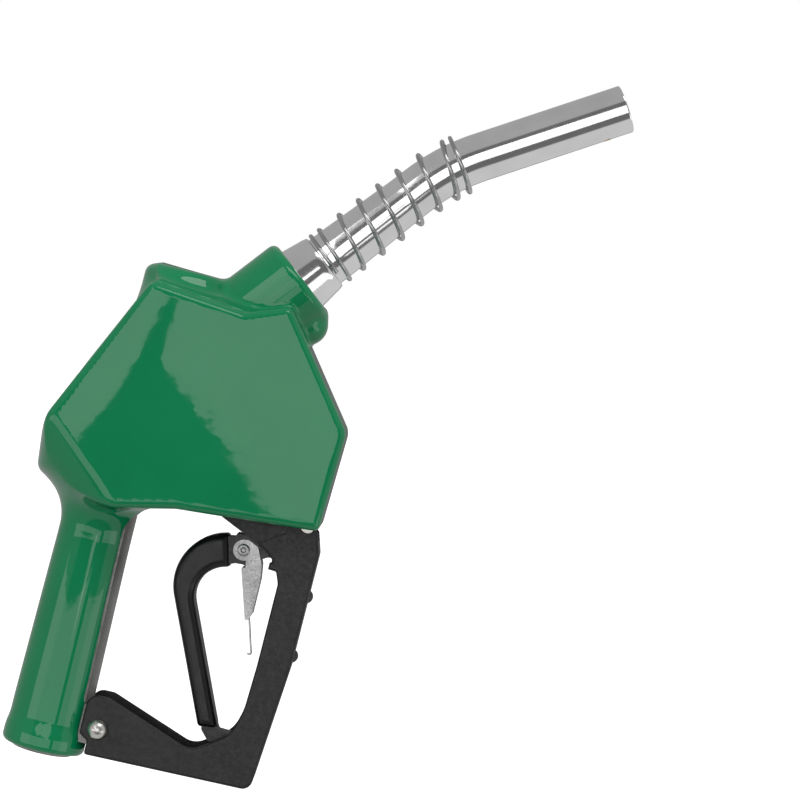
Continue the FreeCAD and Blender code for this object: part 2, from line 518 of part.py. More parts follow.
# ---------------------------------------------------------------- guard
def guard():
    web = 2.2
    plate = slab(GUARD, -GUARD_HALF, GUARD_HALF)
    outer = [e for e in plate.Edges
             if abs(abs(e.CenterOfMass.y) - GUARD_HALF) < 1e-3
             and (e.CenterOfMass.z < 8 or e.CenterOfMass.x > 94.6) and e.CenterOfMass.z < 117]
    pocket = slab([(12, 4.2 + web, 0), (93.2 - web, 6.6 + web, 3.5), (95.9, 62, 30), (95.9, 112, 4),
                   (92.5, 118, 0), (105, 118, 0), (105, 140, 0), (12, 140, 0)], -GUARD_INNER, GUARD_INNER)
    shape = plate.makeFillet(1.2, outer).cut(pocket)
    rear = cross_rod(REAR_SCREW, 3.05, -20, 20)
    front = cross_rod(FRONT_BOLT, 1.9, -20, 20)
    rivets = [Part.makeCylinder(2.0, 20, Vec(85, 0, z), Vec(1, 0, 0)) for z in RACK_RIVETS_Z]
    keep("lever_guard", shape.cut(rear).cut(front).cut(rivets[0]).cut(rivets[1]))

    bracket = slab([(47, 121.6, 1), (70.9, 111.2, 1), (92.4, 111.2, 1), (92.4, UNDERSIDE_Z, 0),
                    (78, UNDERSIDE_Z, 0), (76, 124.8, 1), (50.8, 124.8, 1), (49, UNDERSIDE_Z, 0),
                    (38, UNDERSIDE_Z, 0), (38, 125.5, 1)], -BRACKET_OUTER, BRACKET_OUTER)
    gap = slab([(30, 100, 0), (110, 100, 0), (110, 140, 0), (50, 140, 0), (50, 126.6, 0), (30, 126.6, 0)],
               -BRACKET_INNER, BRACKET_INNER)
    screws_at = (-5.5, 5.5)
    bracket = bracket.cut(gap).cut(front)
    for y in screws_at:
        bracket = bracket.cut(Part.makeCylinder(1.6, 10, Vec(44.5, y, 122)))
    keep("guard_bracket", bracket)
    bracket_screws = [Part.makeCylinder(1.6, 9, Vec(44.5, y, 126.6)).fuse(
        Part.makeCylinder(2.9, 1.9, Vec(44.5, y, 124.7)))
                      for y in screws_at]
    keep("bracket_screws", Part.makeCompound(bracket_screws))

    shank = cross_rod(FRONT_BOLT, 1.9, -GUARD_HALF, 15.6)
    keep("front_bolt", shank.fuse(cross_rod(FRONT_BOLT, 3.1, -15.0, -GUARD_HALF)))
    nut = hexagon(5.4, 0, 2.4).cut(rod(1.9, -1, 4))
    nut.rotate(Vec(0, 0, 0), Vec(1, 0, 0), -90)
    nut.translate(Vec(FRONT_BOLT.x, GUARD_HALF, FRONT_BOLT.z))
    keep("front_nut", nut)
    keep("front_spacer", cross_rod(FRONT_BOLT, 2.4, -BRACKET_INNER, BRACKET_INNER).cut(
        cross_rod(FRONT_BOLT, 1.9, -12, 12)))

    head = Part.makeSphere(4.7, Vec(REAR_SCREW.x, -GUARD_HALF - 0.4, REAR_SCREW.z))
    head = head.common(box(0, -30, 0, 60, -GUARD_HALF, 60))
    keep("rear_screw", head.fuse(cross_rod(REAR_SCREW, 3.0, -GUARD_HALF, 15.2)).removeSplitter())
    acorn = hexagon(8.6, 0, 2.8)
    acorn.rotate(Vec(0, 0, 0), Vec(1, 0, 0), -90)
    acorn.translate(Vec(REAR_SCREW.x, GUARD_HALF, REAR_SCREW.z))
    dome = Part.makeSphere(4.0, Vec(REAR_SCREW.x, GUARD_HALF + 2.6, REAR_SCREW.z))
    dome = dome.common(box(0, GUARD_HALF + 2.6, 0, 60, 40, 60))
    keep("rear_acorn_nut", acorn.fuse(dome).cut(cross_rod(REAR_SCREW, 3.0, 10, 15.2)))

    rack_outline = [(95.5, 58, 0), (95.5, 97, 0), (89, 97, 2)]
    for tooth in range(3):
        z = 90 - 6.5 * tooth
        rack_outline += [(84.9, z, 0.4), (88.2, z - 2.2, 0.4)]
    rack_outline += [(89, 60.5, 1), (93.4, 58, 0)]
    rack = slab(rack_outline, -9.0, 9.0)
    rack = rack.cut(slab([(80, 55, 0), (93.4, 55, 0), (93.4, 100, 0), (80, 100, 0)], -7.0, 7.0))
    for z in RACK_RIVETS_Z:
        rack = rack.cut(Part.makeCylinder(2.0, 20, Vec(85, 0, z), Vec(1, 0, 0)))
    keep("hold_open_rack", rack)
    rivets = []
    for z in RACK_RIVETS_Z:
        outer_x = 98.0 if z < 80 else 98.05
        shank = Part.makeCylinder(2.0, outer_x - 92.4, Vec(92.4, 0, z), Vec(1, 0, 0))
        tail = Part.makeCylinder(3.0, 1.0, Vec(92.4, 0, z), Vec(1, 0, 0))
        dome = Part.makeSphere(3.2, Vec(outer_x - 1.4, 0, z))
        dome = dome.common(box(outer_x, -5, z - 5, outer_x + 5, 5, z + 5))
        rivets.append(fused([shank, tail, dome]))
    keep("rack_rivets", Part.makeCompound(rivets))


RACK_RIVETS_Z = (66.5, 93.4)


# ---------------------------------------------------------------- lever and hold-open latch
FOOT = [(65.6, 29.5, 0), (66.4, 26.2, 1.5), (70.2, 22.2, 2), (78, 21.4, 3), (89.6, 23.0, 1), (89.6, 27.0, 1),
        (73.6, 27.4, 1), (72.0, 30.0, 0)]
FRONT_ARM = [(60.8, 113.5, 0.5), (60.2, 100.3, 1), (68.0, 100.8, 2), (76.5, 106.4, 4), (86, 106.9, 0),
             (86, 117.1, 0), (76, 113.5, 6)]


def lever():
    core_outline = inset(SLEEVE, SLEEVE_WALL)
    bridge = [(55, 110.6, 0), (56, 98.0, 0), (63, 100.3, 0), (63, 112.3, 0)]
    ankle = [(66.2, 31, 0), (66.6, 26.5, 0), (72.2, 26.8, 0), (71.6, 31, 0)]
    arm = fused([slab(o, -LEVER_HALF, LEVER_HALF) for o in (core_outline, bridge, ankle, FOOT, FRONT_ARM)]
                + [cross_rod(FULCRUM, 5.2, -LEVER_HALF, LEVER_HALF)])
    filled = arm
    front_gap = [(62.5, 90, 0), (62.5, 111.4, 0), (77, 111.4, 0), (77, 125, 0), (100, 125, 0), (100, 90, 0)]
    channel = [(58, 109.1, 0), (34.2, 102.2, 19.6), (66.0, 32, 0), (78, 34, 0), (57, 82, 0),
               (64, 92, 0), (64, 109.1, 0)]
    half_gap = LEVER_HALF - 1.8
    arm = arm.cut(slab(front_gap, -half_gap, half_gap)).cut(slab(channel, -half_gap, half_gap))
    arm = arm.cut(cross_rod(FULCRUM, 2.55, -12, 12)).cut(cross_rod(LATCH_RIVET, 2.0, -12, 12))
    keep("lever_arm", arm)
    sleeve = slab(SLEEVE, -SLEEVE_HALF, SLEEVE_HALF)
    rims = [e for e in sleeve.Edges if abs(abs(e.CenterOfMass.y) - SLEEVE_HALF) < 1e-3]
    sleeve = sleeve.makeFillet(2.2, rims)
    sleeve = sleeve.cut(filled)
    keep("lever_grip_sleeve", max(sleeve.Solids, key=lambda s: s.Volume))

    rivet = cross_rod(LATCH_RIVET, 2.0, -8.0, 8.0)
    heads = [cross_rod(LATCH_RIVET, 2.8, y, y + 0.9) for y in (-8.85, 7.95)]
    keep("latch_rivet", fused([rivet] + heads))

    ears = [(63.6, 110.6, 0), (66.4, 111.9, 1), (71.3, 109.8, 2), (74.7, 102.5, 3), (75.7, 96, 3),
            (75.8, 80.4, 1.2), (74.5, 77.5, 0.6), (73.2, 77.7, 0.5), (66.3, 99.2, 0.4), (68.1, 99.8, 0.4),
            (67.6, 102.6, 0.5)]
    head = cross_rod(LATCH_RIVET, 4.6, -LATCH_OUTER, LATCH_OUTER)
    latch = slab(ears, -LATCH_OUTER, LATCH_OUTER).fuse(head)
    gap = [(60, 125, 0), (60, 99.3, 0), (67.35, 99.3, 0), (74.2, 78.0, 0.5), (74.2, 70, 0),
           (90, 70, 0), (90, 125, 0)]
    latch = latch.cut(slab(gap, -LATCH_INNER, LATCH_INNER))
    latch = latch.cut(cross_rod(LATCH_RIVET, 2.05, -12, 12)).removeSplitter()
    keep("hold_open_latch", latch)

    winding, wire_r = [], 0.42
    for i in range(37):
        angle = 2 * math.pi * i / 12
        across = Vec(3.2 * math.cos(angle), 0, 3.2 * math.sin(angle))
        winding.append(LATCH_RIVET - across + Vec(0, -2.4 + 4.0 * i / 36, 0))
    leg = [winding[-1], Vec(64.3, 1.0, 103.2), Vec(67.9, 0.4, 99.2), Vec(71.6, 0, 88.2),
           Vec(74.95, 0, 77.4), Vec(79.2, 0, 63.4),
           Vec(78.8, 0, 62.6), Vec(78.0, 0, 62.7)]
    spring = swept(winding, wire_r)
    for a, b in zip(leg, leg[1:]):
        run = Part.makeCylinder(wire_r, a.distanceToPoint(b), a, b - a)
        spring = spring.fuse(run).fuse(Part.makeSphere(wire_r, b))
    spring = spring.fuse(Part.makeSphere(wire_r, leg[0]))
    keep("latch_spring", spring)


# ---------------------------------------------------------------- build
keep("body_casting", body_casting())
keep("vinyl_cover", vinyl_cover())
main_valve()
shutoff()
spout()
guard()
lever()
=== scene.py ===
"""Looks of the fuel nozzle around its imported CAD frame.

The shape functions work in millimetres, and Blender in metres.
"""

import json
import math

import bpy
import numpy as np
from mathutils import Matrix, Vector

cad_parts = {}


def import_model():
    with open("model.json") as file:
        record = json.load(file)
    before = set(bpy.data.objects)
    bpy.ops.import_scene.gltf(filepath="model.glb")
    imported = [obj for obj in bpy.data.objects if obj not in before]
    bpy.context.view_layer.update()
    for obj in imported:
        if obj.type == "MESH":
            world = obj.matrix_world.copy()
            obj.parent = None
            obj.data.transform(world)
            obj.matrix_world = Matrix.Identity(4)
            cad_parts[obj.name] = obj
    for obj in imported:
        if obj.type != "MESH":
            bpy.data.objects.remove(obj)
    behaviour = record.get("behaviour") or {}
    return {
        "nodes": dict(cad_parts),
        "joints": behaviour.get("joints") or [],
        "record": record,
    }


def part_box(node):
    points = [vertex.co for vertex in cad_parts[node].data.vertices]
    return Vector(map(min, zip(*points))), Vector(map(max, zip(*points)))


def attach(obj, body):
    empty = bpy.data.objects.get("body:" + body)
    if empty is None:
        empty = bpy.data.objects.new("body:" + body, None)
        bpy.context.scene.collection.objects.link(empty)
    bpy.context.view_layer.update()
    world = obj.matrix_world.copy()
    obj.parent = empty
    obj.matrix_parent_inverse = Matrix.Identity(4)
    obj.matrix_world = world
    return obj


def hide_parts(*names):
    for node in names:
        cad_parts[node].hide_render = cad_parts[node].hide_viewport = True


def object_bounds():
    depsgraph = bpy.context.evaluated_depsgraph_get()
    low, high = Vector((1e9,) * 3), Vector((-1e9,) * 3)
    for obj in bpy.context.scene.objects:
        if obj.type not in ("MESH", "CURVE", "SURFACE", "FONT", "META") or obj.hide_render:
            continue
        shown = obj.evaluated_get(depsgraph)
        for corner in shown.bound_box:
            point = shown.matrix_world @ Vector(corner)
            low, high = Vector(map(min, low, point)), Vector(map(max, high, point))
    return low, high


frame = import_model()
cad_low, cad_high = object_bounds()
MM = 0.001


# ---------------------------------------------------------------- places read from the frame
def box_mm(node):
    low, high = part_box(node)
    return np.array(low) / MM, np.array(high) / MM


def joint(name):
    return next(j for j in frame["joints"] if j["name"] == name)


def mount(name):
    return next(m for m in frame["record"]["mounts"] if m["name"] == name)


BASE_DIR = np.array(joint("check_valve_open")["axis"])
TIP_DIR = np.array(mount("spout_tip")["axis"])
TIP_REACH = 82.9          # from the knee of the spout's centreline to the tube's end
TIP_MIDDLE = TIP_REACH - mount("spout_tip")["dims"]["length_mm"] / 2
KNEE = np.array(mount("spout_tip")["pos_m"]) / MM - TIP_DIR * TIP_MIDDLE
COVER_LOW, COVER_HIGH = box_mm("vinyl_cover")
HALF_WIDTH = COVER_HIGH[1]

# ---------------------------------------------------------------- the cover's driving dimensions
WALL = 3.0
EDGE_R = 3.4              # between the flat sides and the rim
SLOT_HALF = 9.6           # the slot down the grip's inner side
UNDER_HALF = 16.0         # the opening under the body
CELL = 1.25               # mesh size
COLLAR_R = 20.0
COLLAR_END = -80.1        # of the collar, along the spout from the knee
MOUTH_R = 15.5
CROWN_AT = (13.5, 20.0)   # centre along X and radius of the round boss on top
CROWN_TOP = 219.5
RIM_R = 0.9               # rounding of the vinyl's cut edges
GRIP_TOP = 135            # where the grip's round form ends inside the body
COLLAR_START = -122       # of the collar, along the spout from the knee
LOBE_AT = (68.5, 209.5)   # centre along X and Z of the swelling between roof and collar
LOBE_R = 9
INLET_R = 15.2
LUG_HALF = 11.2           # the wider opening at the grip's foot, between the guard's legs

# Side outline: (x, z, corner radius).
OUTLINE = [(0.2, 211.2, 4), (42, 207.4, 2), (61, 214.8, 3), (97.2, 167.8, 8), (95.6, 123.9, 2.5),
           (34, 118.6, 12), (8, 112.5, 6), (-14, 111.8, 4), (-31.6, 119.8, 5), (-31.2, 142.5, 30)]
# The shoulder above the grip: a facet on each side, through a point of its upper crease.
FACET_AT = (-24, HALF_WIDTH, 135)
FACET_OUT = (-0.546, 0.614, -0.570)


# ---------------------------------------------------------------- signed distances, negative inside
def unit(v):
    return v / np.linalg.norm(v)


def outline_parts(corners):
    """Straight stretches and corner arcs of a rounded outline."""
    points = [np.array(c[:2], float) for c in corners]
    n = len(points)
    arcs, starts, ends = [], [], []
    for i in range(n):
        p, radius = points[i], corners[i][2]
        back, on = unit(points[i - 1] - p), unit(points[(i + 1) % n] - p)
        half = math.acos(float(np.clip(back @ on, -1, 1))) / 2
        reach = radius / math.tan(half)
        starts.append(p + back * reach)
        ends.append(p + on * reach)
        if radius > 0:
            arcs.append((p, p + unit(back + on) * (radius / math.sin(half)), radius, starts[-1], ends[-1]))
    lines = [(ends[i], starts[(i + 1) % n]) for i in range(n)]
    return points, lines, arcs


def cross(ax, az, bx, bz):
    return ax * bz - az * bx


def outline_distance(x, z, corners):
    """Signed distance in the XZ plane to a closed outline of lines and arcs."""
    points, lines, arcs = outline_parts(corners)
    best = np.full(np.broadcast(x, z).shape, 1e9)
    for a, b in lines:
        d = b - a
        t = np.clip(((x - a[0]) * d[0] + (z - a[1]) * d[1]) / (d @ d), 0, 1)
        best = np.minimum(best, np.hypot(x - a[0] - t * d[0], z - a[1] - t * d[1]))
    inside = np.zeros(best.shape, bool)
    for (ax, az), (bx, bz) in zip(points, points[1:] + points[:1]):
        crosses = (az > z) != (bz > z)
        with np.errstate(divide="ignore", invalid="ignore"):
            at = ax + (z - az) * (bx - ax) / (bz - az)
        inside ^= crosses & (x < at)
    for p, c, radius, start, end in arcs:
        side = np.sign(cross(*(start - c), *(end - c)))
        from_start = cross(start[0] - c[0], start[1] - c[1], x - c[0], z - c[1]) * side
        to_end = cross(x - c[0], z - c[1], end[0] - c[0], end[1] - c[1]) * side
        away = np.hypot(x - c[0], z - c[1])
        wedge = (from_start >= 0) & (to_end >= 0)
        best = np.where(wedge, np.minimum(best, np.abs(away - radius)), best)
        past_chord = (x - start[0]) * (p - c)[0] + (z - start[1]) * (p - c)[1] >= 0
        inside ^= wedge & past_chord & (away > radius) & (away < np.linalg.norm(p - c) + 1e-9) & in_corner(
            x, z, p, start, end)
    return np.where(inside, -best, best)


def in_corner(x, z, p, start, end):
    """Inside the triangle between a sharp corner and the ends of its arc."""
    edges = ((start, p), (p, end), (end, start))
    turns = [cross(b[0] - a[0], b[1] - a[1], x - a[0], z - a[1]) for a, b in edges]
    return ((turns[0] >= 0) & (turns[1] >= 0) & (turns[2] >= 0)) | (
        (turns[0] <= 0) & (turns[1] <= 0) & (turns[2] <= 0))


def smooth_min(a, b, k):
    h = np.clip(0.5 + 0.5 * (b - a) / k, 0, 1)
    return b + (a - b) * h - k * h * (1 - h)


def round_max(a, b, r):
    """Intersection whose edge is rounded with radius r."""
    a, b = a + r, b + r
    return np.minimum(np.maximum(a, b), 0) + np.hypot(np.maximum(a, 0), np.maximum(b, 0)) - r


def smooth_step(t):
    t = np.clip(t, 0, 1)
    return t * t * t * (t * (6 * t - 15) + 10)


def half_width(x, z):
    """Half the body's width: slightly crowned, with the faint waves of a dipped skin."""
    crown = (x - 34) ** 2 / 1600 + (z - 168) ** 2 / 26000
    wave = 0.16 * np.sin(x / 17 + 0.6) * np.sin(z / 21 + x / 60)
    wave = wave + 0.01 * np.sin(x / 6.3 + z / 11) * np.sin(z / 7.1)
    return HALF_WIDTH - 0.15 - crown + wave


def grip_radius(z):
    return 16.1 + 1.2 * np.clip((95 - z) / 73, 0, 1) + 0.9 * smooth_step((16 - z) / 10)


def along_spout(x, y, z):
    """Distance along the spout's first axis from the knee, and distance from that axis."""
    dx, dz = x - KNEE[0], z - KNEE[2]
    along = dx * BASE_DIR[0] + dz * BASE_DIR[2]
    aside = -dx * BASE_DIR[2] + dz * BASE_DIR[0]
    return along, np.hypot(aside, y)


def cover_outside(x, y, z):
    """Signed distance to the cover's outer form."""
    side = np.abs(y)
    facet = sum(n * (v - at) for n, v, at in zip(FACET_OUT, (x, side, z), FACET_AT))
    block = round_max(outline_distance(x, z, OUTLINE), side - half_width(x, z), EDGE_R)
    block = round_max(block, facet, 7)
    grip = round_max(np.hypot(x, y) - grip_radius(z), COVER_LOW[2] - z, 2.6)
    grip = np.maximum(grip, z - GRIP_TOP)
    along, out = along_spout(x, y, z)
    collar = np.maximum(round_max(out - COLLAR_R, along - COLLAR_END, EDGE_R), COLLAR_START - along)
    crown = np.maximum(round_max(np.hypot(x - CROWN_AT[0], y) - CROWN_AT[1], z - CROWN_TOP, 4.5), 185 - z)
    lobe = np.sqrt((x - LOBE_AT[0]) ** 2 + y**2 + (z - LOBE_AT[1]) ** 2) - LOBE_R
    roof = np.maximum(z + 0.09 * x - 211.0 - 0.25 * (HALF_WIDTH - side), side - HALF_WIDTH + 4)
    roof = np.maximum(roof, np.maximum(np.maximum(2 - x, x - 50), 190 - z))
    whole = smooth_min(smooth_min(block, grip, 14), roof, 1.5)
    whole = smooth_min(whole, crown, 6)
    whole = smooth_min(whole, collar, 2.5)
    return smooth_min(whole, lobe, 3)


def boxed(x, y, z, low, high):
    """Signed distance to a box."""
    parts = [np.abs(v - (a + b) / 2) - (b - a) / 2 for v, a, b in zip((x, y, z), low, high)]
    outside = np.sqrt(sum(np.maximum(p, 0) ** 2 for p in parts))
    return outside + np.minimum(np.maximum(np.maximum(parts[0], parts[1]), parts[2]), 0)


def cover_openings(x, y, z):
    slot = boxed(x, y, z, (8, -SLOT_HALF, 27), (40, SLOT_HALF, 119))
    lug = boxed(x, y, z, (15, -LUG_HALF, 11.5), (40, LUG_HALF, 27.5))
    under = boxed(x, y, z, (30, -UNDER_HALF, 95), (93.6, UNDER_HALF, 127.5))
    inlet = np.maximum(np.hypot(x, y) - INLET_R, z - 9)
    along, out = along_spout(x, y, z)
    mouth = np.maximum(out - MOUTH_R, -98 - along)
    return np.minimum(np.minimum(smooth_min(np.minimum(slot, lug), under, 4), inlet), mouth)


def cover_distance(x, y, z):
    outside = cover_outside(x, y, z)
    skin = np.maximum(outside, -(outside + WALL))
    return round_max(skin, -cover_openings(x, y, z), RIM_R)


# ---------------------------------------------------------------- mesh from a signed distance
CORNERS = [(i, j, k) for i in (0, 1) for j in (0, 1) for k in (0, 1)]


def surface_net(distance, low, high, cell):
    """Quads around the zero surface of distance, one vertex in each cell that it crosses."""
    axes = [np.arange(a - 1.5 * cell, b + 2.5 * cell, cell) for a, b in zip(low, high)]
    values = distance(axes[0][:, None, None], axes[1][None, :, None], axes[2][None, None, :])
    size = [n - 1 for n in values.shape]
    total, count = np.zeros((*size, 3)), np.zeros(size)
    for a in CORNERS:
        for axis in range(3):
            if a[axis]:
                continue
            b = tuple(v + (i == axis) for i, v in enumerate(a))
            va = values[tuple(slice(o, o + n) for o, n in zip(a, size))]
            vb = values[tuple(slice(o, o + n) for o, n in zip(b, size))]
            crossing = (va < 0) != (vb < 0)
            t = va[crossing] / (va[crossing] - vb[crossing])
            for i in range(3):
                total[..., i][crossing] += a[i] + (t if i == axis else 0)
            count[crossing] += 1
    used = count > 0
    index = np.full(size, -1)
    index[used] = np.arange(used.sum())
    where = np.stack(np.nonzero(used), 1)
    points = (where + total[used] / count[used][:, None]) * cell + np.array([a[0] for a in axes])
    quads = []
    for axis in range(3):
        u, v = (axis + 1) % 3, (axis + 2) % 3
        first = [slice(1, -1)] * 3
        first[axis] = slice(0, -1)
        second = list(first)
        second[axis] = slice(1, None)
        inside_first, inside_second = values[tuple(first)] < 0, values[tuple(second)] < 0
        at = np.stack(np.nonzero(inside_first != inside_second), 1)
        leaving = inside_first[tuple(at.T)]
        at = at + np.array([0 if i == axis else 1 for i in range(3)])
        ring = []
        for du, dv in ((-1, -1), (0, -1), (0, 0), (-1, 0)):
            cell_at = at.copy()
            cell_at[:, u] += du
            cell_at[:, v] += dv
            ring.append(index[tuple(cell_at.T)])
        ring = np.stack(ring, 1)
        quads.append(np.where(leaving[:, None], ring, ring[:, ::-1]))
    return points, np.concatenate(quads)


def slope(distance, points, step=0.02):
    """Gradient of distance at the points."""
    columns = []
    for axis in range(3):
        offset = np.zeros(3)
        offset[axis] = step
        columns.append((distance(*(points + offset).T) - distance(*(points - offset).T)) / (2 * step))
    return np.stack(columns, 1)


def unit_normals(distance, points):
    normals = slope(distance, points)
    return normals / (np.linalg.norm(normals, axis=1, keepdims=True) + 1e-9)


def settle(distance, points, rounds=3):
    """Moves the points onto the zero surface."""
    for _ in range(rounds):
        gradient = slope(distance, points)
        size = np.maximum((gradient**2).sum(1), 0.2)
        move = gradient * (distance(*points.T) / size)[:, None]
        points = points - np.clip(move, -0.6, 0.6)
    return points


def relaxed(distance, points, quads, rounds=4):
    """Evens out the mesh along its own surface."""
    count = np.zeros(len(points))
    for i in range(4):
        np.add.at(count, quads[:, i], 2)
    for _ in range(rounds):
        total = np.zeros_like(points)
        for i in range(4):
            for j in (i - 1, (i + 1) % 4):
                np.add.at(total, quads[:, i], points[quads[:, j]])
        move = total / count[:, None] - points
        normal = unit_normals(distance, points)
        move -= normal * (move * normal).sum(1, keepdims=True)
        points = settle(distance, points + 0.5 * move, 1)
    return points


def mesh_object(name, points, faces, normals=None):
    mesh = bpy.data.meshes.new(name)
    mesh.from_pydata((np.asarray(points) * MM).tolist(), [], np.asarray(faces).tolist())
    mesh.update()
    mesh.polygons.foreach_set("use_smooth", [True] * len(mesh.polygons))
    if normals is not None:
        mesh.normals_split_custom_set_from_vertices(normals.tolist())
    made = bpy.data.objects.new(name, mesh)
    bpy.context.scene.collection.objects.link(made)
    return made


def vinyl_cover(looks):
    points, quads = surface_net(cover_distance, COVER_LOW, COVER_HIGH, CELL)
    points = settle(cover_distance, points)
    points = relaxed(cover_distance, points, quads)
    points = settle(cover_distance, points, 2)
    cover = mesh_object("green_cover", points, quads, unit_normals(cover_distance, points))
    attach(cover, "body")
    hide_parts("vinyl_cover")
    cover.data.materials.append(looks["green_vinyl"])


# ---------------------------------------------------------------- spout, spring, sleeve and screws
BEND_R = 90.0
BEND = math.acos(float(BASE_DIR @ TIP_DIR))
TANGENT = BEND_R * math.tan(BEND / 2)
BEND_SIDE = np.array([BASE_DIR[2], 0, -BASE_DIR[0]])
ACROSS = np.array([0, 1.0, 0])
SLEEVE = [(57.6, 112.5, 1), (29.5, 104.4, 23), (64.4, 27.3, 1.5), (73.4, 28.0, 1), (44.2, 93.2, 13.4),
          (61.4, 98.4, 1)]
SLEEVE_HALF = 8.6
SLEEVE_CELL = 1.3
SPRING_R = 12.75          # of the anchor spring's wire centreline
WIRE_R = 0.9


def spout_frame(along):
    """Centre of the spout so far along from the knee, and the direction to the outside of its bend."""
    swing = min(max(along + TANGENT, 0) / BEND_R, BEND)
    centre = KNEE - BASE_DIR * TANGENT
    centre = centre + BEND_R * (math.sin(swing) * BASE_DIR + (1 - math.cos(swing)) * BEND_SIDE)
    straight = along + TANGENT if along < -TANGENT else max(along + TANGENT - BEND_R * BEND, 0)
    heading = math.cos(swing) * BASE_DIR + math.sin(swing) * BEND_SIDE
    outward = np.array([-heading[2], 0, heading[0]])
    return centre + heading * straight, outward


def ring_about(along, radius, count=96):
    centre, outward = spout_frame(along)
    angles = np.arange(count) * 2 * math.pi / count
    return centre + radius * (np.cos(angles)[:, None] * outward + np.sin(angles)[:, None] * ACROSS)


def joined_rings(name, rings, closed=True):
    """A skin over rings of equally many points, the last one joined to the first when closed."""
    count = len(rings[0])
    points = np.concatenate(rings)
    faces = []
    for i in range(len(rings) if closed else len(rings) - 1):
        j = (i + 1) % len(rings)
        for k in range(count):
            n = (k + 1) % count
            faces.append((i * count + k, j * count + k, j * count + n, i * count + n))
    made = mesh_object(name, points, faces)
    made.data.set_sharp_from_angle(angle=math.radians(32))
    return made


def fine(profile, step=1.5):
    """The profile with extra stations between its corners."""
    stations = []
    for (a0, r0), (a1, r1) in zip(profile, profile[1:]):
        count = max(1, int(abs(a1 - a0) / step))
        stations += [(a0 + (a1 - a0) * i / count, r0 + (r1 - r0) * i / count) for i in range(count)]
    return stations + [profile[-1]]


def spout_tube():
    tip = TIP_REACH - 2 * TANGENT + BEND_R * BEND
    outside = [(-94.5, 11.7), (-60, 11.7), (-24, 10.6), (tip - 0.6, 10.6), (tip - 0.5, 10.6),
               (tip - 0.15, 10.45), (tip, 10.15)]
    inside = [(tip, 9.7), (tip - 0.3, 9.4), (tip - 0.5, 9.4), (-24, 9.4), (-60, 10.5), (-94.5, 10.5)]
    tube = joined_rings("spout", [ring_about(a, r) for a, r in fine(outside) + fine(inside)])
    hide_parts("spout_tube")
    return tube


def spout_bushing():
    outside = [(-110.3, 15.1)]
    for groove in (-107.2, -101.2):
        outside += [(groove - 1.2, 15.1), (groove - 1.19, 13.0), (groove + 1.19, 13.0), (groove + 1.2, 15.1)]
    outside += [(-81.6, 15.1), (-81.0, 15.02), (-70, 13.5), (-68.4, 13.1), (-68.0, 12.85), (-67.8, 12.5)]
    inside = [(-67.8, 11.8), (-95, 11.8), (-95.1, 10.6), (-96.9, 10.6), (-97, 12.6), (-110.3, 12.6)]
    bushing = joined_rings("bushing", [ring_about(a, r) for a, r in fine(outside) + fine(inside)])
    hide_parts("spout_bushing")
    return bushing


def wire(name, path, radius, sides=14):
    """A round wire along the path, closed at both ends."""
    path = np.asarray(path)
    heading = np.gradient(path, axis=0)
    heading /= np.linalg.norm(heading, axis=1, keepdims=True)
    across = np.cross(heading[0], ACROSS)
    rings = []
    for centre, along in zip(path, heading):
        across = unit(across - along * (across @ along))
        over = np.cross(along, across)
        angles = np.arange(sides) * 2 * math.pi / sides
        rings.append(centre + radius * (np.cos(angles)[:, None] * across + np.sin(angles)[:, None] * over))
    ends = [np.repeat(path[:1], sides, 0), *rings, np.repeat(path[-1:], sides, 0)]
    return joined_rings(name, ends, closed=False)


def anchor_spring():
    # Turn number and place along the spout: close at both ends, open between.
    turns = [(-0.35, -66.6), (0, -65.9), (1, -61.4), (2, -50.3), (7, 2.9), (8, 6.2), (8.35, 7.4)]
    path = []
    for turn in np.linspace(turns[0][0], turns[-1][0], 420):
        centre, outward = spout_frame(float(np.interp(turn, *zip(*turns))))
        angle = 2 * math.pi * turn
        path.append(centre + SPRING_R * (math.cos(angle) * outward + math.sin(angle) * ACROSS))
    spring = wire("spout_spring", path, WIRE_R)
    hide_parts("anchor_spring")
    return spring


def turned_about_y(name, x, z, profile, count=64):
    """A turned piece about an axis along Y through (x, z): pairs of (y, radius)."""
    angles = np.arange(count) * 2 * math.pi / count
    rings = [np.stack([x + r * np.cos(angles), np.full(count, y), z + r * np.sin(angles)], 1)
             for y, r in profile]
    return joined_rings(name, rings, closed=False)


def rear_screw():
    low, high = box_mm("rear_screw")
    x, z = (low[0] + high[0]) / 2, (low[2] + high[2]) / 2
    rim, dome = -12.6, 4.65
    cap = [(rim - 0.3 - 4.8 * math.sin(a), dome * math.cos(a)) for a in np.linspace(math.pi / 2, 0, 24)]
    shank = [(rim, 4.5), (rim, 3.0), (high[1], 3.0), (high[1], 0.01)]
    screw = turned_about_y("guard_screw", x, z, cap + shank)
    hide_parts("rear_screw")
    return screw


def latch_rivet():
    low, high = box_mm("latch_rivet")
    x, z = (low[0] + high[0]) / 2, (low[2] + high[2]) / 2
    reach, head = high[1], (high[0] - low[0]) / 2
    end = [(-reach + 0.8, 0.01), (-reach + 0.7, 0.8), (-reach + 0.12, 1.2), (-reach, 1.5),
           (-reach + 0.1, head - 0.5), (-reach + 0.45, head - 0.05), (-reach + 0.75, head)]
    other = [(-y, r) for y, r in reversed(end)]
    rivet = turned_about_y("latch_pivot", x, z, [*end, (-reach + 0.95, 2.0), (reach - 0.95, 2.0), *other])
    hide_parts("latch_rivet")
    return rivet


def sleeve_distance(x, y, z):
    round_edge = round_max(outline_distance(x, z, SLEEVE), np.abs(y) - SLEEVE_HALF, 3.6)
    return round_edge - 0.05 * np.sin(x / 9 + z / 13)


